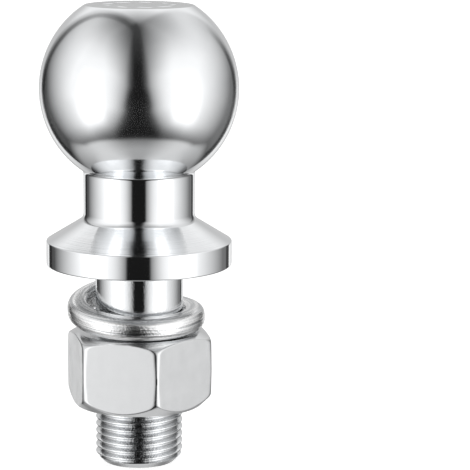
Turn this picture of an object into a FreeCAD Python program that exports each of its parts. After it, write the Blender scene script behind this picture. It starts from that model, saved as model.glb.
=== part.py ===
import FreeCAD, Part
import math
import os

# Threaded tow ball: a chromed one-piece stud (ball, neck, collar and threaded shank),
# a split spring washer and a hexagon nut. Millimetres and degrees throughout.
# The origin is the centre of the collar's seat, on the shank's axis, and +Z runs up to the ball.

# Ball, neck and collar of the stud
ball_diameter = 50.0
ball_centre_height = 44.5
ball_flat_diameter = 27.4
ball_flat_edge_radius = 0.8
neck_diameter = 28.0
neck_top_fillet = 0.5
neck_foot_height = 11.9
neck_foot_fillet = 2.4
collar_diameter = 46.8
collar_rim_height = 6.1
collar_top_edge_radius = 0.3
collar_bottom_edge_radius = 0.4

# Shank of the stud: a plain stretch under the seat, then the thread down to its end. The thread is
# right-handed, 14 to the inch, and its groove starts below the end so that it runs out there.
shank_diameter = 22.22
shank_root_fillet = 0.5
plain_length = 12.7
thread_length = 38.3
thread_diameter = 22.1
thread_pitch = 1.8143
thread_crest_width = 0.23
thread_root_width = 0.3
thread_flank_angle = 30.0
thread_cut_margin = 0.1
thread_lead_in = 1.31
thread_end_chamfer = 2.0

# Hexagon nut, screwed up the thread until it is this far under the thread's top
nut_under_thread_top = 4.32
nut_across_flats = 33.34
nut_height = 18.83
nut_top_face_diameter = 31.6
nut_top_chamfer_angle = 28.0
nut_top_shoulder_radius = 1.8
nut_low_face_diameter = 32.4
nut_low_chamfer_angle = 45.0
nut_low_shoulder_radius = 4.0
nut_shoulder_diameter = 37.9
nut_belly = 0.27
nut_belly_radius = 60.0
nut_turned_by = -16.5
nut_countersink = 1.1
nut_thread_clearance = 0.05

# Split spring washer, lying loose on the nut
washer_bore = 24.8
washer_section_width = 5.0
washer_section_height = 5.8
washer_outer_edge_radius = 2.3
washer_inner_edge_radius = 1.0
washer_rise = 5.5
washer_split_angle = 95.0
washer_split_width = 8.0
washer_tilt_back = 5.3
washer_tilt_side = 1.5
washer_off_centre = -0.75
washer_rest_gap = 0.02

nut_top = -plain_length - nut_under_thread_top

UP = FreeCAD.Vector(0, 0, 1)
ORIGIN = FreeCAD.Vector(0, 0, 0)


def point(radius, height):
    """A point of an outline that is turned about the shank's axis."""
    return FreeCAD.Vector(radius, 0, height)


def arc_between(start, centre, end):
    """The short arc from start to end about centre."""
    radius = (start - centre).Length
    middle = centre + (((start + end) * 0.5) - centre).normalize() * radius
    return Part.Arc(start, middle, end).toShape()


def rounded_corner(before, corner, after, radius):
    """Start, centre and end of the arc that rounds the corner between two straight runs."""
    to_before = (before - corner).normalize()
    to_after = (after - corner).normalize()
    half_angle = to_before.getAngle(to_after) / 2
    reach = radius / math.tan(half_angle)
    bisector = (to_before + to_after).normalize()
    centre = corner + bisector * (radius / math.sin(half_angle))
    return corner + to_before * reach, centre, corner + to_after * reach


def turned(edges):
    """The solid that a closed outline sweeps round the shank's axis."""
    face = Part.Face(Part.Wire(edges))
    return face.revolve(ORIGIN, UP, 360)


def polygon(points):
    """The straight edges that join the points in a closed loop."""
    pairs = zip(points, points[1:] + points[:1])
    return [Part.LineSegment(a, b).toShape() for a, b in pairs]


def thread_groove():
    """The groove of the shank's thread: a trapezoid that climbs one pitch a turn, right-handed."""
    slope = math.tan(math.radians(thread_flank_angle))
    depth = (thread_pitch - thread_crest_width - thread_root_width) / 2 / slope
    crest_radius = thread_diameter / 2
    root_radius = crest_radius - depth
    mouth_radius = crest_radius + thread_cut_margin
    half_root = thread_root_width / 2
    half_mouth = half_root + (mouth_radius - root_radius) * slope

    # It climbs by whole turns and stops short of the plain shank
    start = -plain_length - thread_length - thread_lead_in
    turns = math.floor((thread_length + thread_lead_in - half_mouth) / thread_pitch)
    section = Part.Wire(polygon([
        point(root_radius, start - half_root),
        point(mouth_radius, start - half_mouth),
        point(mouth_radius, start + half_mouth),
        point(root_radius, start + half_root),
    ]))
    left_handed = False
    path = Part.makeLongHelix(thread_pitch, thread_pitch * turns, crest_radius, 0, left_handed)
    path.translate(point(0, start))
    solid = True
    keeps_section_upright = True
    return Part.Wire(path.Edges).makePipeShell([section], solid, keeps_section_upright)


def ball_stud():
    """Ball, neck, collar and shank, forged and turned from one bar."""
    ball_radius = ball_diameter / 2
    neck_radius = neck_diameter / 2
    collar_radius = collar_diameter / 2
    shank_radius = shank_diameter / 2
    thread_radius = thread_diameter / 2
    ball_centre = point(0, ball_centre_height)
    flat_height = math.sqrt(ball_radius ** 2 - (ball_flat_diameter / 2) ** 2)
    top = ball_centre_height + flat_height

    # The flat's edge is rounded by a circle inside the ball and under the flat
    edge = ball_flat_edge_radius
    edge_offset = math.sqrt((ball_radius - edge) ** 2 - (flat_height - edge) ** 2)
    edge_centre = point(edge_offset, top - edge)
    edge_top = point(edge_offset, top)
    edge_side = ball_centre + (edge_centre - ball_centre).normalize() * ball_radius

    # The ball runs into the neck by a circle outside both
    outer = neck_radius + neck_top_fillet
    drop = math.sqrt((ball_radius + neck_top_fillet) ** 2 - outer ** 2)
    throat_centre = point(outer, ball_centre_height - drop)
    throat_top = ball_centre + (throat_centre - ball_centre).normalize() * ball_radius
    throat_foot = point(neck_radius, ball_centre_height - drop)

    # Neck foot, collar top, collar bottom, shank root: each is a rounded corner
    neck_corner = point(neck_radius, neck_foot_height)
    rim_corner = point(collar_radius, collar_rim_height)
    seat_corner = point(collar_radius, 0)
    root_corner = point(shank_radius, 0)
    plain_end = point(shank_radius, -plain_length)
    shank_end = -plain_length - thread_length
    foot = rounded_corner(throat_foot, neck_corner, rim_corner, neck_foot_fillet)
    rim = rounded_corner(neck_corner, rim_corner, seat_corner, collar_top_edge_radius)
    seat = rounded_corner(rim_corner, seat_corner, root_corner, collar_bottom_edge_radius)
    root = rounded_corner(seat_corner, root_corner, plain_end, shank_root_fillet)

    # The thread's crests lie on a cylinder, with a short cone up to the plain shank
    thread_top = point(thread_radius, -plain_length - (shank_radius - thread_radius))
    thread_foot = point(thread_radius, shank_end + thread_end_chamfer)
    end_edge = point(thread_radius - thread_end_chamfer, shank_end)
    ball_side = ball_centre + FreeCAD.Vector(ball_radius, 0, 0)

    edges = [
        Part.LineSegment(point(0, top), edge_top).toShape(),
        arc_between(edge_top, edge_centre, edge_side),
        Part.Arc(edge_side, ball_side, throat_top).toShape(),
        arc_between(throat_top, throat_centre, throat_foot),
        Part.LineSegment(throat_foot, foot[0]).toShape(),
        arc_between(*foot),
        Part.LineSegment(foot[2], rim[0]).toShape(),
        arc_between(*rim),
        Part.LineSegment(rim[2], seat[0]).toShape(),
        arc_between(*seat),
        Part.LineSegment(seat[2], root[0]).toShape(),
        arc_between(*root),
        Part.LineSegment(root[2], plain_end).toShape(),
        Part.LineSegment(plain_end, thread_top).toShape(),
        Part.LineSegment(thread_top, thread_foot).toShape(),
        Part.LineSegment(thread_foot, end_edge).toShape(),
        Part.LineSegment(end_edge, point(0, shank_end)).toShape(),
        Part.LineSegment(point(0, shank_end), point(0, top)).toShape(),
    ]
    return turned(edges).cut(thread_groove()).Solids[0]


def hexagon(across_flats, low, height, turned_by):
    """A hexagonal prism on the shank's axis, with one corner at the given angle."""
    corner_radius = across_flats / math.sqrt(3)
    corners = []
    for i in range(6):
        angle = math.radians(turned_by + 60 * i)
        x = corner_radius * math.cos(angle)
        y = corner_radius * math.sin(angle)
        corners.append(FreeCAD.Vector(x, y, low))
    face = Part.Face(Part.Wire(polygon(corners)))
    return face.extrude(UP * height)


def hex_nut():
    """A plain hexagon nut, chamfered at both ends and deeper at its lower one."""
    high = nut_top
    low = high - nut_height
    shoulder_radius = nut_shoulder_diameter / 2
    top_face_radius = nut_top_face_diameter / 2
    low_face_radius = nut_low_face_diameter / 2
    top_drop = (shoulder_radius - top_face_radius) * math.tan(math.radians(nut_top_chamfer_angle))
    low_rise = (shoulder_radius - low_face_radius) * math.tan(math.radians(nut_low_chamfer_angle))
    bore_radius = thread_diameter / 2 + nut_thread_clearance

    # The corners lie inside a barrel: a slight belly, and a round shoulder above each chamfer's cone
    top_face = point(top_face_radius, high)
    top_corner = point(shoulder_radius, high - top_drop)
    middle = point(shoulder_radius + nut_belly, (high + low) / 2)
    low_corner = point(shoulder_radius, low + low_rise)
    low_face = point(low_face_radius, low)
    upper = rounded_corner(top_face, top_corner, middle, nut_top_shoulder_radius)
    belly = rounded_corner(top_corner, middle, low_corner, nut_belly_radius)
    lower = rounded_corner(middle, low_corner, low_face, nut_low_shoulder_radius)
    barrel = turned([
        Part.LineSegment(point(0, high), top_face).toShape(),
        Part.LineSegment(top_face, upper[0]).toShape(),
        arc_between(*upper),
        Part.LineSegment(upper[2], belly[0]).toShape(),
        arc_between(*belly),
        Part.LineSegment(belly[2], lower[0]).toShape(),
        arc_between(*lower),
        Part.LineSegment(lower[2], low_face).toShape(),
        Part.LineSegment(low_face, point(0, low)).toShape(),
        Part.LineSegment(point(0, low), point(0, high)).toShape(),
    ])

    # The bore is opened by a 45 degree countersink at each end
    mouth = bore_radius + nut_countersink
    bore = turned(polygon([
        point(0, high),
        point(mouth, high),
        point(bore_radius, high - nut_countersink),
        point(bore_radius, low + nut_countersink),
        point(mouth, low),
        point(0, low),
    ]))
    blank = hexagon(nut_across_flats, low, nut_height, nut_turned_by).common(barrel)
    return blank.cut(bore).Solids[0]


def washer_section():
    """The washer's rolled wire: a rectangle, rounder at its outer edges, at the turn's start."""
    inner = washer_bore / 2
    outer = inner + washer_section_width
    corners = [
        point(inner, 0),
        point(outer, 0),
        point(outer, washer_section_height),
        point(inner, washer_section_height),
    ]
    radii = [
        washer_inner_edge_radius,
        washer_outer_edge_radius,
        washer_outer_edge_radius,
        washer_inner_edge_radius,
    ]
    rounds = []
    for i in range(4):
        before = corners[i - 1]
        after = corners[(i + 1) % 4]
        rounds.append(rounded_corner(before, corners[i], after, radii[i]))
    edges = []
    for i in range(4):
        edges.append(arc_between(*rounds[i]))
        edges.append(Part.LineSegment(rounds[i][2], rounds[(i + 1) % 4][0]).toShape())
    return Part.Wire(edges)


def spring_washer():
    """One open turn of rolled wire that climbs clockwise from its low end to its high end."""
    turn = 360 - washer_split_width
    pitch = washer_rise * 360 / turn
    middle_radius = washer_bore / 2 + washer_section_width / 2
    left_handed = True
    path = Part.makeLongHelix(pitch, washer_rise, middle_radius, 0, left_handed)
    solid = True
    keeps_section_upright = True
    washer = Part.Wire(path.Edges).makePipeShell(
        [washer_section()], solid, keeps_section_upright)
    low_end_angle = washer_split_angle - washer_split_width / 2
    washer.rotate(ORIGIN, UP, low_end_angle)
    middle = point(0, (washer_rise + washer_section_height) / 2)
    washer.rotate(middle, FreeCAD.Vector(1, 0, 0), washer_tilt_back)
    washer.rotate(middle, FreeCAD.Vector(0, 1, 0), -washer_tilt_side)

    # It is dropped until its lowest point meets the nut's top
    lowest = washer.optimalBoundingBox(False, False).ZMin
    drop = nut_top + washer_rest_gap - lowest
    washer.translate(FreeCAD.Vector(washer_off_centre, 0, drop))
    return washer


os.makedirs("parts", exist_ok=True)
pieces = {
    "ball_stud": ball_stud(),
    "hex_nut": hex_nut(),
    "spring_washer": spring_washer(),
}
for name, shape in pieces.items():
    shape.exportStep("parts/" + name + ".step")
    box = shape.BoundBox
    print(name, shape.ShapeType, "valid" if shape.isValid() else "not valid",
          "solids", len(shape.Solids), "volume", round(shape.Volume, 1),
          "height", round(box.ZMin, 2), round(box.ZMax, 2))
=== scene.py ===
import bmesh
import bpy
import math
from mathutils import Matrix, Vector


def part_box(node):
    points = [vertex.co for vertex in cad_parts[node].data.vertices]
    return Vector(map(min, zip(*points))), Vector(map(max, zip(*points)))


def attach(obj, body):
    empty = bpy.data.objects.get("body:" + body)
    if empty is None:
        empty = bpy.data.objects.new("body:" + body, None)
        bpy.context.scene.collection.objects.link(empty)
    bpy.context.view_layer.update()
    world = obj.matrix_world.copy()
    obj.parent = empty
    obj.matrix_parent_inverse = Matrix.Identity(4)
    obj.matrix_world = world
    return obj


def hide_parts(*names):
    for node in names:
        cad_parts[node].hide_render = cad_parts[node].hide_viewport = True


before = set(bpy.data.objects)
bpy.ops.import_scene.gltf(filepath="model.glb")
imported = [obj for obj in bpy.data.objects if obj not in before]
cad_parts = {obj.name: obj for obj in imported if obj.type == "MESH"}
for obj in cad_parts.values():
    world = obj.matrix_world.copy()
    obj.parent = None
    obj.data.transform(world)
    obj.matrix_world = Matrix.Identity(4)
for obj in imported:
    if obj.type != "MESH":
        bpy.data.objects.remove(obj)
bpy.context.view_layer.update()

# Ball stud
# One steel forging, turned all over and chromed: the ball with its flat, the neck, the collar
# that seats on the tow bar, and the shank. Its thread is cut last, right-handed, 14 to the inch.
mm = 0.001
ball_radius = 25.0
ball_centre = 44.5
ball_flat_radius = 13.7
ball_flat_edge_radius = 0.8
neck_radius = 14.0
neck_top_fillet = 1.2
neck_foot = (14.0, 11.9)
neck_foot_fillet = 2.4
collar_rim = (23.4, 6.1)
collar_top_edge_radius = 0.3
collar_seat = (23.4, 0.0)
collar_bottom_edge_radius = 0.4
shank_root = (11.11, 0.0)
shank_root_fillet = 0.5
plain_end = (11.11, -12.7)
thread_radius = 11.05
thread_top = (thread_radius, -12.76)
thread_foot = (thread_radius, -49.0)
shank_end = -51.0
end_radius = 9.05
turning_steps = 224
weld_distance = 0.001


def begin_outline(name, x, z):
    """A new object with one point, where the outline of a turned or coiled piece begins."""
    bpy.ops.object.select_all(action="DESELECT")
    bpy.ops.mesh.primitive_plane_add(size=mm)
    piece = bpy.context.object
    piece.name = name
    bpy.ops.object.mode_set(mode="EDIT")
    bpy.ops.mesh.select_mode(type="VERT")
    bpy.ops.mesh.merge(type="CENTER")
    bpy.ops.transform.translate(value=(x * mm, 0, z * mm))
    return piece, (x, z)


def draw_line(tip, x, z):
    """A straight line from the outline's tip, which is then at its far end."""
    move = ((x - tip[0]) * mm, 0, (z - tip[1]) * mm)
    bpy.ops.mesh.extrude_region_move(TRANSFORM_OT_translate={"value": move})
    return x, z


def draw_arc(tip, centre, turn, steps):
    """An arc from the outline's tip about a centre, anticlockwise where the turn is positive."""
    bpy.ops.mesh.spin(steps=steps, angle=turn, axis=(0, 1, 0),
                      center=(centre[0] * mm, 0, centre[1] * mm))
    x = tip[0] - centre[0]
    z = tip[1] - centre[1]
    return (centre[0] + x * math.cos(turn) - z * math.sin(turn),
            centre[1] + x * math.sin(turn) + z * math.cos(turn))


def draw_corner(tip, corner, after, radius, steps):
    """A line towards a corner, and an arc that rounds it towards the point after."""
    arriving = math.atan2(corner[1] - tip[1], corner[0] - tip[0])
    leaving = math.atan2(after[1] - corner[1], after[0] - corner[0])
    turn = math.remainder(leaving - arriving, math.tau)
    reach = radius * math.tan(abs(turn) / 2)
    tip = draw_line(tip, corner[0] - reach * math.cos(arriving), corner[1] - reach * math.sin(arriving))
    side = arriving + math.copysign(math.pi / 2, turn)
    centre = (tip[0] + radius * math.cos(side), tip[1] + radius * math.sin(side))
    return draw_arc(tip, centre, turn, steps)


def turn_outline(steps):
    """Turns the outline round the shank's axis into a closed skin with its faces outward."""
    bpy.ops.mesh.select_all(action="SELECT")
    bpy.ops.mesh.spin(steps=steps, angle=math.tau, center=(0, 0, 0), axis=(0, 0, 1))
    bpy.ops.mesh.select_all(action="SELECT")
    bpy.ops.mesh.remove_doubles(threshold=weld_distance * mm)
    bpy.ops.mesh.normals_make_consistent(inside=False)
    bpy.ops.object.mode_set(mode="OBJECT")


ball_flat = math.sqrt(ball_radius ** 2 - ball_flat_radius ** 2)
top = ball_centre + ball_flat
edge_height = ball_flat - ball_flat_edge_radius
edge_offset = math.sqrt((ball_radius - ball_flat_edge_radius) ** 2 - edge_height ** 2)
edge_angle = math.atan2(edge_offset, edge_height)
throat_offset = neck_radius + neck_top_fillet
throat_drop = math.sqrt((ball_radius + neck_top_fillet) ** 2 - throat_offset ** 2)
throat_angle = math.atan2(throat_drop, throat_offset)
ball_angle = math.pi / 2 + throat_angle - edge_angle

stud, tip = begin_outline("turned_ball_stud", 0, top)
tip = draw_line(tip, edge_offset, top)
tip = draw_arc(tip, (edge_offset, ball_centre + edge_height), -edge_angle, steps=5)
tip = draw_arc(tip, (0, ball_centre), -ball_angle, steps=96)
tip = draw_arc(tip, (throat_offset, ball_centre - throat_drop), throat_angle, steps=8)
tip = draw_corner(tip, neck_foot, collar_rim, neck_foot_fillet, steps=10)
tip = draw_corner(tip, collar_rim, collar_seat, collar_top_edge_radius, steps=5)
tip = draw_corner(tip, collar_seat, shank_root, collar_bottom_edge_radius, steps=6)
tip = draw_corner(tip, shank_root, plain_end, shank_root_fillet, steps=6)
for point in (plain_end, thread_top, thread_foot, (end_radius, shank_end), (0, shank_end)):
    tip = draw_line(tip, *point)
turn_outline(turning_steps)

# The thread's groove: a trapezoid with flanks at 60 degrees to each other, which climbs one pitch
# a turn and leaves a narrow flat crest. It begins below the shank's end, clear of the metal.
pitch = 1.8143
flank_angle = 60
flank_slope = math.tan(math.radians(flank_angle / 2))
crest_width = 0.23
root_width = 0.3
root_radius = thread_radius - (pitch - crest_width - root_width) / 2 / flank_slope
cutting_margin = 0.1
start_below_end = 1.31
groove_start = shank_end - start_below_end
groove_turns = 22
groove_begin = -0.3
groove_run_out = 0.35
thread_steps = 96


def cut_groove(name, inner, outer, start, begin, turns, run_out):
    """A closed helical cutter. Its helix passes the height start on the +X side, and the cutter
    begins at that many turns along it. inner and outer are (radius, half width) of its section.
    Over its last run_out turns it leaves the metal, as a tool that is drawn out."""
    start += begin * pitch
    cutter, tip = begin_outline(name, inner[0], start - inner[1])
    tip = draw_line(tip, outer[0], start - outer[1])
    tip = draw_line(tip, outer[0], start + outer[1])
    tip = draw_line(tip, inner[0], start + inner[1])
    bpy.ops.mesh.select_all(action="SELECT")
    bpy.ops.mesh.edge_face_add()
    bpy.ops.mesh.delete(type="ONLY_FACE")
    bpy.ops.object.mode_set(mode="OBJECT")
    bpy.ops.object.modifier_add(type="SCREW")
    screw = cutter.modifiers[-1]
    screw.angle = math.tau
    screw.screw_offset = pitch * mm
    screw.iterations = turns
    screw.steps = thread_steps
    screw.render_steps = thread_steps
    bpy.ops.object.modifier_apply(modifier=screw.name)
    section_points = 4
    for index, point in enumerate(cutter.data.vertices):
        turns_to_end = turns - index // section_points / thread_steps
        if turns_to_end < run_out:
            drawn_out = (1 - turns_to_end / run_out) * (outer[0] - inner[0])
            grown = 1 + drawn_out * mm / math.hypot(point.co.x, point.co.y)
            point.co.x *= grown
            point.co.y *= grown
    bpy.ops.object.mode_set(mode="EDIT")
    bpy.ops.mesh.select_all(action="SELECT")
    bpy.ops.mesh.remove_doubles(threshold=weld_distance * mm)
    bpy.ops.mesh.fill_holes(sides=0)
    bpy.ops.mesh.select_all(action="SELECT")
    bpy.ops.mesh.normals_make_consistent(inside=False)
    bpy.ops.object.mode_set(mode="OBJECT")
    cutter.rotation_euler = (0, 0, math.tau * begin)
    bpy.ops.object.transform_apply()
    return cutter


def select_only(piece):
    """Selects this piece alone and makes it the active one."""
    bpy.ops.object.select_all(action="DESELECT")
    piece.select_set(True)
    bpy.context.view_layer.objects.active = piece


def cut_away(piece, cutter):
    """Takes the cutter's shape out of the piece, and the cutter away."""
    select_only(piece)
    bpy.ops.object.modifier_add(type="BOOLEAN")
    cut = piece.modifiers[-1]
    cut.operation = "DIFFERENCE"
    cut.solver = "EXACT"
    cut.object = cutter
    bpy.ops.object.modifier_apply(modifier=cut.name)
    bpy.data.objects.remove(cutter)


def half_groove(radius):
    """Half the width of the shank's groove at a radius."""
    return (pitch - crest_width) / 2 + (radius - thread_radius) * flank_slope


groove_mouth = thread_radius + cutting_margin
groove = cut_groove("shank_groove", (root_radius, half_groove(root_radius)),
                    (groove_mouth, half_groove(groove_mouth)), groove_start, groove_begin,
                    groove_turns, groove_run_out)
cut_away(stud, groove)

# A ring of leaf-shaped punch marks on the ball's flat, each the dent of a long rounded punch
# whose nose is half an ellipsoid, here by its half length, half width and height
mark_count = 9
mark_ring_radius = 8.3
mark_depth = 0.2
mark_slant = 24.0
punch_nose = (3.9, 1.35, 1.0)
punches = []
for mark in range(mark_count):
    around = math.tau * mark / mark_count
    punch_at = (mark_ring_radius * math.cos(around) * mm, mark_ring_radius * math.sin(around) * mm,
                (top + punch_nose[2] - mark_depth) * mm)
    bpy.ops.object.select_all(action="DESELECT")
    bpy.ops.mesh.primitive_uv_sphere_add(segments=48, ring_count=32, radius=mm, location=punch_at)
    punch = bpy.context.object
    punch.scale = punch_nose
    punch.rotation_euler = (0, 0, around + math.pi / 2 - math.radians(mark_slant))
    bpy.ops.object.transform_apply()
    punches.append(punch)
for punch in punches:
    punch.select_set(True)
bpy.ops.object.join()
cut_away(stud, bpy.context.object)


def smooth(piece, degrees):
    """Smooth shading that keeps edges sharper than the angle, with large faces leading."""
    select_only(piece)
    bpy.ops.object.shade_smooth_by_angle(angle=math.radians(degrees))
    bpy.ops.object.modifier_add(type="WEIGHTED_NORMAL")
    piece.modifiers[-1].keep_sharp = True
    bpy.ops.object.modifier_apply(modifier=piece.modifiers[-1].name)


smooth(stud, degrees=25)


def linear(hex_colour):
    """The linear colour of an sRGB hex value."""
    channels = [int(hex_colour[i:i + 2], 16) / 255 for i in (1, 3, 5)]
    return [c / 12.92 if c <= 0.04045 else ((c + 0.055) / 1.055) ** 2.4 for c in channels] + [1]


def add_node(tree, kind, inputs, **settings):
    """Adds a node with its settings. Each input takes a value, or a socket or a node that feeds it.
    The inputs are a list where they are the node's first ones in order."""
    node = tree.nodes.new(kind)
    for name, value in settings.items():
        setattr(node, name, value)
    if isinstance(inputs, list):
        inputs = dict(enumerate(inputs))
    for name, value in inputs.items():
        if isinstance(value, bpy.types.Node):
            value = value.outputs[0]
        if isinstance(value, bpy.types.NodeSocket):
            tree.links.new(value, node.inputs[name])
        else:
            node.inputs[name].default_value = value
    return node


def new_material(name):
    """A material that has no nodes yet, and its node tree."""
    material = bpy.data.materials.new(name)
    material.use_nodes = True
    tree = material.node_tree
    tree.nodes.clear()
    return material, tree


def follow(tree, value, stops, shape="LINEAR"):
    """A level that follows a value through stops, each (value, level), and stays flat outside them.
    Any number of a stop may be a socket or a node."""
    level = stops[0][1]
    for near, far in zip(stops, stops[1:]):
        level = add_node(tree, "ShaderNodeMapRange", [value, near[0], far[0], level, far[1]],
                         interpolation_type=shape)
    return level


def place_in_mm(tree):
    """The place on the piece in millimetres."""
    metres = add_node(tree, "ShaderNodeTexCoord", {}).outputs["Object"]
    return add_node(tree, "ShaderNodeVectorMath", {0: metres, "Scale": 1 / mm}, operation="SCALE")


def finish_in_metal(piece, material, tint, roughness, marks):
    """Ends a metal's nodes with its shader, and puts the material on the piece."""
    tree = material.node_tree
    shader = add_node(tree, "ShaderNodeBsdfPrincipled",
                      {"Metallic": 1.0, "Base Color": tint, "Roughness": roughness, "Normal": marks})
    add_node(tree, "ShaderNodeOutputMaterial", {"Surface": shader})
    piece.data.materials.append(material)


# Decorative chrome over turned steel. The ball is buffed and gives soft reflections, softest a
# little below its middle. The neck, collar and shank keep sharp ones with the lathe's rings, and
# the thread and flat are duller. The rings and pits are drawn coarser than real ones, to show.
rings_per_mm = 5.0
ring_relief = 0.003
cone_rings = 6.0
pits_per_mm = 3.0
pit_relief = 0.012
tears_per_mm = 2.2
tear_relief = 0.045
tears_on_plain_shank = 0.35
clouds_per_mm = 0.12
turned_roughness = 0.045
buffed_roughness = 0.1
worn_below_centre = 4.0
worn_middle = ball_centre - worn_below_centre
chrome, tree = new_material("chrome_on_turned_steel")
place = place_in_mm(tree)
split = add_node(tree, "ShaderNodeSeparateXYZ", [place])
height = split.outputs["Z"]
across = add_node(tree, "ShaderNodeCombineXYZ", [split.outputs["X"], split.outputs["Y"]])
from_axis = add_node(tree, "ShaderNodeVectorMath", [across], operation="LENGTH").outputs["Value"]
profile = add_node(tree, "ShaderNodeCombineXYZ", [from_axis, height])
rings = add_node(tree, "ShaderNodeTexNoise", {"Vector": profile, "Scale": rings_per_mm, "Detail": 2.0})
pits = add_node(tree, "ShaderNodeTexNoise", {"Vector": place, "Scale": pits_per_mm, "Detail": 3.0})
tears = add_node(tree, "ShaderNodeTexNoise", {"Vector": place, "Scale": tears_per_mm, "Detail": 3.0})
cloud = add_node(tree, "ShaderNodeTexNoise", {"Vector": place, "Scale": clouds_per_mm, "Detail": 2.0})

# Where the finishes change: 1 on the named place and 0 off it
below_ball = follow(tree, height, [(21.0, 1.0), (22.5, 0.0)])
on_flat = follow(tree, height, [(top - 0.03, 0.0), (top - 0.01, 1.0)])
on_shank = follow(tree, height, [(-0.2, 1.0), (0.2, 0.0)])
on_thread = follow(tree, height, [(plain_end[1] - 0.15, 1.0), (plain_end[1] + 0.05, 0.0)])
below_neck = follow(tree, height, [(neck_foot[1] - 0.3, 1.0), (neck_foot[1] + 0.1, 0.0)])
worn = follow(tree, height, [(worn_middle - 6.5, 0.0), (worn_middle - 1.0, 1.0),
                             (worn_middle + 1.0, 1.0), (worn_middle + 6.5, 0.0)], "SMOOTHSTEP")

# On the cone, the distance from the axis times the height is more than it is at the collar's rim
at_rim = collar_rim[0] * collar_rim[1]
past_rim = add_node(tree, "ShaderNodeMath", [height, from_axis], operation="MULTIPLY")
past_rim = follow(tree, past_rim, [(at_rim + 1.26, 0.0), (at_rim + 5.26, 1.0)])
on_cone = add_node(tree, "ShaderNodeMath", [past_rim, below_neck], operation="MULTIPLY")

roughness = follow(tree, height, [(24.0, turned_roughness), (33.0, buffed_roughness)])
for rough_place, more in ((worn, 0.055), (on_flat, 0.1), (on_thread, 0.03), (pits, 0.03)):
    roughness = add_node(tree, "ShaderNodeMath", [rough_place, more, roughness],
                         operation="MULTIPLY_ADD")

ring_depth = add_node(tree, "ShaderNodeMath", [on_cone, cone_rings, below_ball],
                      operation="MULTIPLY_ADD")
ring_depth = add_node(tree, "ShaderNodeMath", [ring_depth, on_flat], operation="ADD")
turned = add_node(tree, "ShaderNodeMath", [rings, ring_depth], operation="MULTIPLY")
pitted = add_node(tree, "ShaderNodeMath", [pits, on_shank], operation="MULTIPLY")
tear_depth = add_node(tree, "ShaderNodeMath", [on_shank, tears_on_plain_shank, on_thread],
                      operation="MULTIPLY_ADD")
torn = add_node(tree, "ShaderNodeMath", [tears, tear_depth], operation="MULTIPLY")
marks = add_node(tree, "ShaderNodeBump", {"Height": turned, "Distance": ring_relief * mm})
marks = add_node(tree, "ShaderNodeBump",
                 {"Height": pitted, "Distance": pit_relief * mm, "Normal": marks})
marks = add_node(tree, "ShaderNodeBump",
                 {"Height": torn, "Distance": tear_relief * mm, "Normal": marks})

# The colour is darker on the flat. At the bottom of the thread's groove it is darkened further as
# painted shade, where the groove traps light.
darker_flat = -0.18
painted_shade_in_groove = -0.22
tint = add_node(tree, "ShaderNodeMix", {"Factor": cloud, 6: linear("#E4E6E8"), 7: linear("#F4F5F6")},
                data_type="RGBA").outputs[2]
brightness = add_node(tree, "ShaderNodeMath", [on_flat, darker_flat, 1.0], operation="MULTIPLY_ADD")
groove_painted_shade = follow(tree, from_axis, [(9.9, painted_shade_in_groove), (10.8, 0.0)])
brightness = add_node(tree, "ShaderNodeMath", [on_thread, groove_painted_shade, brightness],
                      operation="MULTIPLY_ADD")
tint = add_node(tree, "ShaderNodeVectorMath", {0: tint, "Scale": brightness}, operation="SCALE")
finish_in_metal(stud, chrome, tint, roughness, marks)
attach(stud, "stud")
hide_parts("ball_stud")

# Spring washer
# One open turn of rolled spring steel wire, bright plated. It lies loose on the nut, tilted,
# with its two cut ends one above the other behind the shank.
washer_inner = 12.4
washer_outer = 17.4
washer_height = 5.8
washer_outer_edge_radius = 2.3
washer_inner_edge_radius = 1.0
washer_rise = 5.5
washer_turn = 352.0
washer_start = 91.0
washer_tilt_back = 5.3
washer_tilt_side = -1.5
washer_off_centre = -0.75
washer_end_bevel = 0.25
washer_middle = 14.4
washer_steps = 176

# The wire's section is drawn about the washer's middle height, so that the tilt turns there. Its
# outline begins between the two rounded edges of its low side.
low = -(washer_rise + washer_height) / 2
high = low + washer_height
washer, tip = begin_outline("rolled_spring_washer", washer_middle, low)
section = [(washer_outer, low), (washer_outer, high), (washer_inner, high), (washer_inner, low)]
tip = draw_corner(tip, section[0], section[1], washer_outer_edge_radius, steps=12)
tip = draw_corner(tip, section[1], section[2], washer_outer_edge_radius, steps=12)
tip = draw_corner(tip, section[2], section[3], washer_inner_edge_radius, steps=8)
tip = draw_corner(tip, section[3], section[0], washer_inner_edge_radius, steps=8)
tip = draw_line(tip, washer_middle, low)
bpy.ops.mesh.select_all(action="SELECT")
bpy.ops.mesh.remove_doubles(threshold=weld_distance * mm)
bpy.ops.object.mode_set(mode="OBJECT")
bpy.ops.object.modifier_add(type="SCREW")
coil = washer.modifiers[-1]
coil.angle = -math.radians(washer_turn)
coil.screw_offset = washer_rise * mm
coil.steps = washer_steps
coil.render_steps = washer_steps
coil.use_merge_vertices = False
bpy.ops.object.modifier_apply(modifier=coil.name)

# Each point keeps its place in the wire in millimetres: outward, along and up
wire = washer.data.attributes.new("place_in_wire", "FLOAT_VECTOR", "POINT")
rise_a_degree = washer_rise / washer_turn
for index, point in enumerate(washer.data.vertices):
    coiled = -math.degrees(math.atan2(point.co.y, point.co.x)) % 360
    outward = math.hypot(point.co.x, point.co.y) / mm
    raised = point.co.z / mm - coiled * rise_a_degree
    wire.data[index].vector = (outward, math.radians(coiled) * washer_middle, raised)

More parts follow.
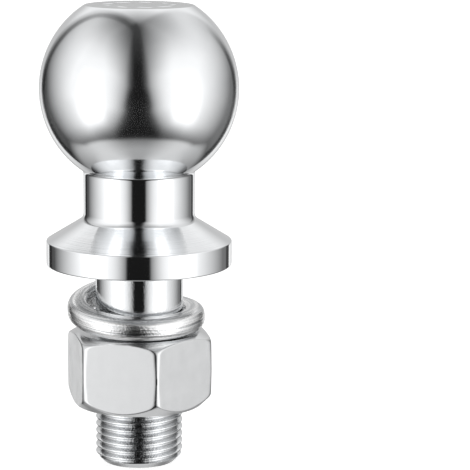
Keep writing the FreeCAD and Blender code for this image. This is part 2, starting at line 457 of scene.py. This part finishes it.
# The two cut ends are closed, and their edges bevelled. Each is one face with many sides.
bpy.ops.object.mode_set(mode="EDIT")
bpy.ops.mesh.select_mode(type="EDGE")
bpy.ops.mesh.select_all(action="DESELECT")
bpy.ops.mesh.select_non_manifold()
bpy.ops.mesh.fill_holes(sides=0)
bpy.ops.mesh.select_all(action="SELECT")
bpy.ops.mesh.normals_make_consistent(inside=False)
bpy.ops.mesh.select_mode(type="FACE")
bpy.ops.mesh.select_all(action="DESELECT")
bpy.ops.mesh.select_face_by_sides(number=4, type="GREATER")
bpy.ops.mesh.region_to_loop()
bpy.ops.mesh.bevel(offset=washer_end_bevel * mm, segments=2, affect="EDGES")
bpy.ops.object.mode_set(mode="OBJECT")

# It is turned so that the split is behind the shank, tilted, and laid on the nut
washer.rotation_euler = (0, 0, math.radians(washer_start))
bpy.ops.object.transform_apply()
washer.rotation_euler = (math.radians(washer_tilt_back), math.radians(washer_tilt_side), 0)
bpy.ops.object.transform_apply()
lowest = min(v.co.z for v in washer.data.vertices)
washer.location = (washer_off_centre * mm, 0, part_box("spring_washer")[0].z - lowest)
bpy.ops.object.transform_apply()
smooth(washer, degrees=30)

# Bright plated spring steel: fine lines from the rolls run along the wire over a pitted skin
roll_lines_per_mm = 1.3
roll_line_stretch = 20
roll_line_relief = 0.2
wire_pits_per_mm = 1.8
wire_pit_relief = 0.06
spring_steel, tree = new_material("plated_rolled_spring_steel")
in_wire = add_node(tree, "ShaderNodeAttribute", {}, attribute_name="place_in_wire").outputs["Vector"]
stretched = add_node(tree, "ShaderNodeVectorMath", [in_wire, (1.0, 1 / roll_line_stretch, 1.0)],
                     operation="MULTIPLY")
roll_lines = add_node(tree, "ShaderNodeTexNoise",
                      {"Vector": stretched, "Scale": roll_lines_per_mm, "Detail": 4.0})
pits = add_node(tree, "ShaderNodeTexNoise",
                {"Vector": place_in_mm(tree), "Scale": wire_pits_per_mm, "Detail": 4.0})
roughness = follow(tree, roll_lines, [(0.3, 0.12), (0.7, 0.24)])
marks = add_node(tree, "ShaderNodeBump", {"Height": roll_lines, "Distance": roll_line_relief * mm})
marks = add_node(tree, "ShaderNodeBump",
                 {"Height": pits, "Distance": wire_pit_relief * mm, "Normal": marks})
paler = follow(tree, roll_lines, [(0.35, 0.0), (0.55, 1.0)])
tint = add_node(tree, "ShaderNodeMix", {"Factor": paler, 6: linear("#C9CBCD"), 7: linear("#FAFAFA")},
                data_type="RGBA").outputs[2]
finish_in_metal(washer, spring_steel, tint, roughness, marks)
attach(washer, "washer")
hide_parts("spring_washer")

# Hexagon nut
# A hot-forged steel nut, 1 5/16 inch across its flats, with both faces chamfered in the lathe,
# its bore countersunk and tapped to run on the shank, and then satin plated.
nut_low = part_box("hex_nut")[0].z / mm
nut_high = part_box("hex_nut")[1].z / mm
nut_across_flats = 33.34
nut_top_face = 15.8
nut_top_chamfer = math.tan(math.radians(28))
nut_top_shoulder_radius = 1.8
nut_low_face = 16.2
nut_low_chamfer = math.tan(math.radians(45))
nut_low_shoulder_radius = 2.6
nut_shoulder = 18.95
nut_belly = 0.27
nut_belly_radius = 60.0
nut_turned_by = -16.5
nut_edge_rounding = 0.3
nut_bore = 10.25
nut_thread_major = 11.16
nut_countersink = 12.2
nut_mouth = 12.6
thread_clearance = 0.09
nut_turning_steps = 420
nut_longest_edge = 0.34
beside_mouth = 0.1

top_shoulder = (nut_shoulder, nut_high - (nut_shoulder - nut_top_face) * nut_top_chamfer)
belly = (nut_shoulder + nut_belly, (nut_high + nut_low) / 2)
low_shoulder = (nut_shoulder, nut_low + (nut_shoulder - nut_low_face) * nut_low_chamfer)
nut, tip = begin_outline("forged_hex_nut", 0, nut_high)
for radius in (nut_mouth, nut_top_face):
    tip = draw_line(tip, radius, nut_high)
tip = draw_corner(tip, top_shoulder, belly, nut_top_shoulder_radius, steps=8)
tip = draw_corner(tip, belly, low_shoulder, nut_belly_radius, steps=16)
tip = draw_corner(tip, low_shoulder, (nut_low_face, nut_low), nut_low_shoulder_radius, steps=14)
for radius in (nut_low_face, nut_mouth, 0):
    tip = draw_line(tip, radius, nut_low)


def divide_outline(longest):
    """Halves the outline's edges outside the bore's mouth until none is longer than this."""
    outline = bmesh.from_edit_mesh(bpy.context.object.data)
    while True:
        long_edges = [edge for edge in outline.edges if edge.calc_length() > longest * mm
                      and min(point.co.x for point in edge.verts) > (nut_mouth - beside_mouth) * mm]
        if not long_edges:
            return
        bmesh.ops.subdivide_edges(outline, edges=long_edges, cuts=1)


divide_outline(nut_longest_edge)
turn_outline(nut_turning_steps)


def soft_least(first, second, reach):
    """The lesser of two distances, with the edge where they cross rounded over this reach."""
    overlap = max(reach - abs(first - second), 0)
    return min(first, second) - overlap * overlap / (4 * reach)


# Each point of the blank is pressed in to the nearest two flats, and the edges are left rounded
side_turn = 360 / 6
for point in nut.data.vertices:
    from_axis = math.hypot(point.co.x, point.co.y) / mm
    if from_axis > nut_mouth + beside_mouth:
        turned = math.degrees(math.atan2(point.co.y, point.co.x)) - nut_turned_by
        off_middle = abs(turned % side_turn - side_turn / 2)
        near = nut_across_flats / 2 / math.cos(math.radians(off_middle))
        next_flat = nut_across_flats / 2 / math.cos(math.radians(side_turn - off_middle))
        flats = soft_least(near, next_flat, nut_edge_rounding)
        pressed = soft_least(from_axis, flats, nut_edge_rounding)
        point.co.x *= pressed / from_axis
        point.co.y *= pressed / from_axis

# The bore's cutter reaches past the blank, where its countersinks go on at 45 degrees
past_blank = 1.0
bore_high = nut_high + past_blank
bore_low = nut_low - past_blank
bore_mouth = nut_countersink + past_blank
countersink_depth = nut_countersink - nut_bore
bore, tip = begin_outline("nut_bore", 0, bore_high)
for point in ((bore_mouth, bore_high), (nut_bore, nut_high - countersink_depth),
              (nut_bore, nut_low + countersink_depth), (bore_mouth, bore_low), (0, bore_low)):
    tip = draw_line(tip, *point)
turn_outline(thread_steps)
cut_away(nut, bore)


def half_tap(radius):
    """Half the width of the nut's groove at a radius: the shank's ridge and its clearance."""
    return crest_width / 2 + (thread_radius - radius) * flank_slope + thread_clearance


# The nut's groove lies half a pitch from the shank's, on its crests, and reaches past the nut
turns_below_tap = 7
tap_turns = 13
tap_start = groove_start + pitch / 2 + turns_below_tap * pitch
tap_mouth = nut_bore - cutting_margin
tap = cut_groove("nut_tap", (tap_mouth, half_tap(tap_mouth)),
                 (nut_thread_major, half_tap(nut_thread_major)), tap_start, 0, tap_turns, 0)
cut_away(nut, tap)
smooth(nut, degrees=20)

# Satin bright plating on forged flats: an even pale sheen with a fine grain and faint clouds
nut_clouds_per_mm = 0.25
etch_per_mm = 5.0
etch_relief = 0.0015
plated_nut, tree = new_material("satin_plated_forged_steel")
place = place_in_mm(tree)
clouds = add_node(tree, "ShaderNodeTexNoise",
                  {"Vector": place, "Scale": nut_clouds_per_mm, "Detail": 3.0})
etched = add_node(tree, "ShaderNodeTexNoise", {"Vector": place, "Scale": etch_per_mm, "Detail": 3.0})
roughness = follow(tree, clouds, [(0.3, 0.18), (0.7, 0.24)])
marks = add_node(tree, "ShaderNodeBump", {"Height": etched, "Distance": etch_relief * mm})
tint = add_node(tree, "ShaderNodeMix", {"Factor": clouds, 6: linear("#D5D6D7"), 7: linear("#E3E4E5")},
                data_type="RGBA").outputs[2]
finish_in_metal(nut, plated_nut, tint, roughness, marks)
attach(nut, "nut")
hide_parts("hex_nut")

# Table
# A plain pale surface, 12 m across, under the shank's end. To the camera it is lifted to white
# and keeps the object's soft shadow. Metal doesn't mirror it, because the studio below carries
# its light.
table_size = 12
table_centre_behind = 4
camera_lift = 0.6
bpy.ops.object.select_all(action="DESELECT")
bpy.ops.mesh.primitive_plane_add(size=table_size, location=(0, table_centre_behind, shank_end * mm))
table = bpy.context.object
table.name = "table"
pale, tree = new_material("pale_table_paint")
to_camera = add_node(tree, "ShaderNodeLightPath", {}).outputs["Is Camera Ray"]
paint = add_node(tree, "ShaderNodeBsdfDiffuse", {"Color": linear("#F4F4F4")})
lift_level = add_node(tree, "ShaderNodeMath", [to_camera, camera_lift], operation="MULTIPLY")
lift = add_node(tree, "ShaderNodeEmission", {"Color": linear("#FFFFFF"), "Strength": lift_level})
both = add_node(tree, "ShaderNodeAddShader", [paint, lift])
add_node(tree, "ShaderNodeOutputMaterial", {"Surface": both})
table.data.materials.append(pale)
table.visible_glossy = False

# Studio
# A light tent round the object, seen only in its reflections: two wide panels of light at the
# sides, a dark gap towards the camera, dark edges behind the panels and a pale wall at the back.
world = bpy.data.worlds.new("studio")
bpy.context.scene.world = world
world.use_nodes = True
sky = world.node_tree
sky.nodes.clear()

# Directions are bearings from the camera's side, heights above the horizon, both in degrees, and
# the distance behind a slanting plane that parts the side panels from the wall at the back
panel_shift = 0.017
panel_lean = 0.022
wall_plane = (-0.8416, 0.526, 0.1218)
direction = add_node(sky, "ShaderNodeTexCoord", {}).outputs["Generated"]
split = add_node(sky, "ShaderNodeSeparateXYZ", [direction])
east = split.outputs["X"]
north = split.outputs["Y"]
up = split.outputs["Z"]
above = add_node(sky, "ShaderNodeMath", [up, 0.0], operation="MAXIMUM")
leaned = add_node(sky, "ShaderNodeMath", [above, panel_lean, east], operation="MULTIPLY_ADD")
leaned = add_node(sky, "ShaderNodeMath", [leaned, panel_shift], operation="ADD")
south = add_node(sky, "ShaderNodeMath", [north, -1.0], operation="MULTIPLY")
bearing = add_node(sky, "ShaderNodeMath", [leaned, south], operation="ARCTAN2")
bearing = add_node(sky, "ShaderNodeMath", [bearing], operation="ABSOLUTE")
bearing = add_node(sky, "ShaderNodeMath", [bearing], operation="DEGREES")
height = add_node(sky, "ShaderNodeMath", [up], operation="ARCSINE")
height = add_node(sky, "ShaderNodeMath", [height], operation="DEGREES")
sideways = add_node(sky, "ShaderNodeMath", [east], operation="ABSOLUTE")
folded = add_node(sky, "ShaderNodeCombineXYZ", [sideways, north, up])
behind = add_node(sky, "ShaderNodeVectorMath", [folded, wall_plane],
                  operation="DOT_PRODUCT").outputs["Value"]
on_right = follow(sky, east, [(-0.02, 0.0), (0.02, 1.0)])
on_left = add_node(sky, "ShaderNodeMath", [1.0, on_right], operation="SUBTRACT")

# Side panels: a black card stands between them by the camera. They are dim beside it and reach
# their full light at a bearing that grows towards the table and the ceiling.
full_panel = 1.14
dim_by_card = -0.95
card_edge = follow(sky, height, [(-42.0, 27.0), (-20.0, 14.9), (-13.0, 14.9), (9.0, 9.3)])
card_blur = follow(sky, height, [(-37.0, 11.5), (-14.0, 1.5), (-13.0, 1.5), (8.0, 6.5)])
full_from = follow(sky, height, [(-45.0, 86.0), (-15.0, 38.0), (20.0, 38.0), (60.0, 66.0)])
dimmed = follow(sky, bearing, [(card_edge, 1.0), (full_from, 0.0)])
dimmed_curve = follow(sky, height, [(15.0, 1.6), (30.0, 1.3)])
dimmed = add_node(sky, "ShaderNodeMath", [dimmed, dimmed_curve], operation="POWER")
panel = add_node(sky, "ShaderNodeMath", [dimmed, dim_by_card, full_panel], operation="MULTIPLY_ADD")

# Their brightest part is a patch at the sides, from above the table to eye level
patch = follow(sky, bearing, [(36.0, 0.0), (48.0, 0.55), (64.0, 0.55), (80.0, 0.0)], "SMOOTHSTEP")
patch_reach = follow(sky, height, [(-40.0, 0.0), (-20.0, 1.0), (0.0, 1.0), (28.0, 0.0)], "SMOOTHSTEP")
panel = add_node(sky, "ShaderNodeMath", [patch, patch_reach, panel], operation="MULTIPLY_ADD")

# They end at the card, and fade away behind the object, sooner on the right
past_card = add_node(sky, "ShaderNodeMath", [bearing, card_edge], operation="SUBTRACT")
past_card = add_node(sky, "ShaderNodeMath", [past_card, card_blur], operation="DIVIDE")
past_card = follow(sky, past_card, [(-1.0, 0.0), (1.0, 1.0)], "SMOOTHSTEP")
right_fades_sooner = 4.0
right_fades_less = 0.09
fade_from = follow(sky, height, [(-35.0, 68.0), (0.0, 83.0)])
fade_to = follow(sky, height, [(-35.0, 123.0), (0.0, 134.0)])
fade_level = follow(sky, height, [(0.0, 0.08), (28.0, 0.5), (30.0, 0.5), (55.0, 0.95)])
fade_level = add_node(sky, "ShaderNodeMath", [on_right, right_fades_less, fade_level],
                      operation="MULTIPLY_ADD")
faded = add_node(sky, "ShaderNodeMath", [on_right, right_fades_sooner, bearing],
                 operation="MULTIPLY_ADD")
faded = follow(sky, faded, [(fade_from, 1.0), (fade_to, fade_level)])

# They are dimmer towards the table and the ceiling
ceiling = follow(sky, east, [(-0.2, 0.09), (0.2, 0.25)])
by_height = follow(sky, height, [(-52.0, 0.12), (-28.0, 1.0), (25.0, 1.0), (90.0, ceiling)],
                   "SMOOTHSTEP")

# A dark gap between each panel and the wall, which closes above the right panel
gap_left = follow(sky, height, [(20.0, 0.72), (45.0, 0.45)])
gap_left = add_node(sky, "ShaderNodeMath", [gap_left, on_left], operation="MULTIPLY")
gap_right = follow(sky, height, [(8.0, 0.72), (30.0, 0.0)])
gap_depth = add_node(sky, "ShaderNodeMath", [gap_right, on_right, gap_left],
                     operation="MULTIPLY_ADD")
gap_middle = follow(sky, height, [(20.0, 0.12), (50.0, 0.06)])
off_gap = add_node(sky, "ShaderNodeMath", [behind, gap_middle], operation="ADD")
off_gap = add_node(sky, "ShaderNodeMath", [off_gap], operation="ABSOLUTE")
in_gap = follow(sky, off_gap, [(0.03, 1.0), (gap_middle, 0.0)], "SMOOTHSTEP")
in_gap = add_node(sky, "ShaderNodeMath", [in_gap, gap_depth], operation="MULTIPLY")
out_of_gap = add_node(sky, "ShaderNodeMath", [1.0, in_gap], operation="SUBTRACT")
for shade in (past_card, faded, by_height, out_of_gap):
    panel = add_node(sky, "ShaderNodeMath", [panel, shade], operation="MULTIPLY")

# The wall at the back, paler beside the panels and overhead
wall_edge = follow(sky, bearing, [(154.0, 1.0), (174.0, 0.45)])
wall = follow(sky, height, [(-12.0, wall_edge), (2.0, 0.6), (12.0, 0.6), (35.0, 1.0)], "SMOOTHSTEP")
wall_reach = follow(sky, north, [(-0.1, 0.15), (0.35, 1.0)])
wall_foot = follow(sky, height, [(-48.0, 0.15), (-22.0, 1.0)], "SMOOTHSTEP")
for shade in (wall_reach, wall_foot):
    wall = add_node(sky, "ShaderNodeMath", [wall, shade], operation="MULTIPLY")
wall_blur = follow(sky, height, [(-12.0, 0.01), (2.0, 0.1)])
at_wall = follow(sky, behind, [(-0.01, 0.0), (wall_blur, 1.0)], "SMOOTHSTEP")
off_wall = add_node(sky, "ShaderNodeMath", [1.0, at_wall], operation="SUBTRACT")
panel = add_node(sky, "ShaderNodeMath", [panel, off_wall], operation="MULTIPLY")
tent = add_node(sky, "ShaderNodeMath", [wall, at_wall, panel], operation="MULTIPLY_ADD")

# The table's own light from below, a little dimmer on the camera's side
table_lift_at_back = 8.5
at_back = follow(sky, bearing, [(95.0, 0.0), (125.0, 1.0)], "SMOOTHSTEP")
table_edge = follow(sky, bearing, [(30.0, -51.5), (105.0, -45.0)])
table_edge = add_node(sky, "ShaderNodeMath", [at_back, table_lift_at_back, table_edge],
                      operation="MULTIPLY_ADD")
table_near = follow(sky, height, [(-66.0, 0.42), (-52.0, 0.2)])
table_side = follow(sky, bearing, [(85.0, 0.74), (145.0, 0.32)])
table_side = follow(sky, height, [(-64.0, 0.74), (-56.0, table_side)])
table_light = follow(sky, bearing, [(10.0, table_near), (75.0, table_side)], "SMOOTHSTEP")
table_blur = add_node(sky, "ShaderNodeMath", [at_back, 1.0], operation="ADD")
past_edge = add_node(sky, "ShaderNodeMath", [height, table_edge], operation="SUBTRACT")
past_edge = add_node(sky, "ShaderNodeMath", [past_edge, table_blur], operation="DIVIDE")
on_table = follow(sky, past_edge, [(-4.0, 1.0), (2.5, 0.0)], "SMOOTHSTEP")
table_light = add_node(sky, "ShaderNodeMath", [table_light, on_table], operation="MULTIPLY")

# The brightest of the tent, the table and a least light shows, and the camera itself sees white.
# The least light is a little more overhead, where the tent's far end shows in the black card.
least = follow(sky, height, [(30.0, 0.011), (75.0, 0.05)])
to_camera = add_node(sky, "ShaderNodeLightPath", {}).outputs["Is Camera Ray"]
for light in (table_light, least, to_camera):
    tent = add_node(sky, "ShaderNodeMath", [tent, light], operation="MAXIMUM")
backdrop = add_node(sky, "ShaderNodeBackground", {"Color": tent, "Strength": 1.0})
add_node(sky, "ShaderNodeOutputWorld", {"Surface": backdrop})
world.cycles.sampling_method = "NONE"

# Camera
# It stands 0.57 m in front of the shank's axis and a little above the ball, turned to the right
# so that the object stands left of the picture's middle.
picture_width = 470
camera_distance = 0.5711
camera_height = 0.10995
camera_pitch = 0.1778
focal_pixels = 2293.85
axis_left_of_middle = 95.8
bpy.ops.object.camera_add(location=(0, -camera_distance, camera_height))
camera = bpy.context.object
camera.rotation_mode = "YXZ"
camera_turn = math.atan2(axis_left_of_middle, focal_pixels)
camera.rotation_euler = (math.pi / 2 - camera_pitch, -camera_turn, 0)
camera.data.lens = focal_pixels / picture_width * camera.data.sensor_width
bpy.context.scene.camera = camera
bpy.context.scene.view_settings.view_transform = "Standard"
